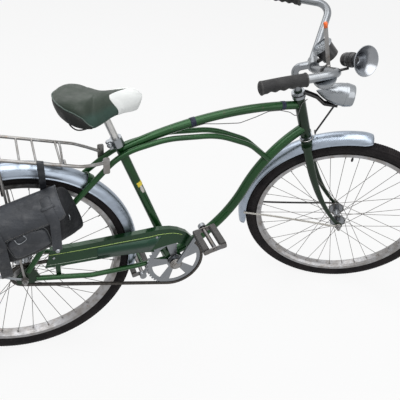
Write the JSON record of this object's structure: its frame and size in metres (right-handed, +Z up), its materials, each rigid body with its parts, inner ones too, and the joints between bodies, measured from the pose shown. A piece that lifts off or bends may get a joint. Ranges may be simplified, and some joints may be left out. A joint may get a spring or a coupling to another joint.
{
  "type": "middleweight cruiser bicycle with chrome fenders, rear rack and saddle bag",
  "caption": "Cruiser bicycle with a curved cantilever frame, chrome fenders, swept bar, bullet headlight, trumpet horn, wire rack and a leather pannier; steering, wheels, crank and pedals turn.",
  "frame": {"origin": "on top of the saddle, at the middle of the rider's seat", "axes": "+X forward, +Y to the rider's left, +Z up"},
  "size_m": [1.7343, 0.5467, 1.0431],
  "materials": {
    "bag_leather": "satin",
    "black_paint": "satin",
    "chain_steel": "dull",
    "chrome": "polished",
    "glass": "clear",
    "green_paint": "gloss",
    "rubber": "matte",
    "steel": "dull",
    "tyre": "matte",
    "vinyl_green": "satin",
    "vinyl_white": "satin",
    "wire_plastic": "matte"
  },
  "bodies": {
    "frame": {"bag_body": "bag_leather", "bottom_bracket_shell": "green_paint", "chain": "chain_steel", "chain_guard": "green_paint", "chainstay_left": "green_paint", "chainstay_right": "green_paint", "down_tube": "green_paint", "head_tube": "green_paint", "headset_cups": "chrome", "lamp_wire": "wire_plastic", "rack_clamp": "black_paint", "rack_legs": "black_paint", "rear_axle": "steel", "rear_fender": "chrome", "rear_fender_stays": "chrome", "rear_fork_ends": "green_paint", "rear_rack": "chrome", "saddle_base": "black_paint", "saddle_cover": "vinyl_green", "saddle_nose_cover": "vinyl_white", "seat_clamp": "chrome", "seat_post": "chrome", "seat_tube": "green_paint", "side_tube_left": "green_paint", "side_tube_right": "green_paint", "top_tube": "green_paint"},
    "steering": {"fork": "green_paint", "front_axle": "steel", "front_fender": "chrome", "front_fender_stays": "chrome", "stem": "chrome", "handlebar": "chrome", "grips": "rubber", "headset_lock_ring": "chrome", "headlight_shell": "chrome", "headlight_rim": "chrome", "headlight_lens": "glass", "headlight_bracket": "black_paint", "horn_body": "black_paint", "horn_trumpet": "chrome", "horn_bracket": "black_paint", "speedometer_case": "black_paint", "speedometer_bezel": "chrome", "signal_lever": "steel", "bell_dome": "chrome"},
    "front_wheel": {"front_tyre": "tyre", "front_rim": "steel", "front_spokes": "steel", "front_hub": "chrome"},
    "rear_wheel": {"rear_tyre": "tyre", "rear_rim": "steel", "rear_spokes": "steel", "rear_hub": "chrome", "rear_cog": "steel"},
    "crankset": {"crank": "chrome", "chainwheel": "chrome"},
    "pedal_right": {"pedal_right_frame": "chrome", "pedal_right_blocks": "rubber"},
    "pedal_left": {"pedal_left_frame": "chrome", "pedal_left_blocks": "rubber"}
  },
  "joints": [
    {"name": "steering_turn", "type": "hinge", "parent": "frame", "child": "steering", "pos_m": [0.64791, 0, -0.13661], "axis": [-0.3665, 0, 0.9304], "range_deg": [-31.5, 88.5]},
    {"name": "front_wheel_spin", "type": "hinge", "parent": "steering", "child": "front_wheel", "pos_m": [0.85823, -0.02863, -0.52667], "axis": [0.444, 0.8788, 0.1749], "continuous": true},
    {"name": "rear_wheel_spin", "type": "hinge", "parent": "frame", "child": "rear_wheel", "pos_m": [-0.225, 0, -0.524], "axis": [0, 1, 0], "continuous": true},
    {"name": "crank_spin", "type": "hinge", "parent": "frame", "child": "crankset", "pos_m": [0.235, 0, -0.583], "axis": [0, 1, 0], "continuous": true},
    {"name": "pedal_right_spin", "type": "hinge", "parent": "crankset", "child": "pedal_right", "pos_m": [0.30733, 0, -0.4347], "axis": [0, 1, 0], "continuous": true},
    {"name": "pedal_left_spin", "type": "hinge", "parent": "crankset", "child": "pedal_left", "pos_m": [0.16267, 0, -0.7313], "axis": [0, 1, 0], "continuous": true}
  ]
}
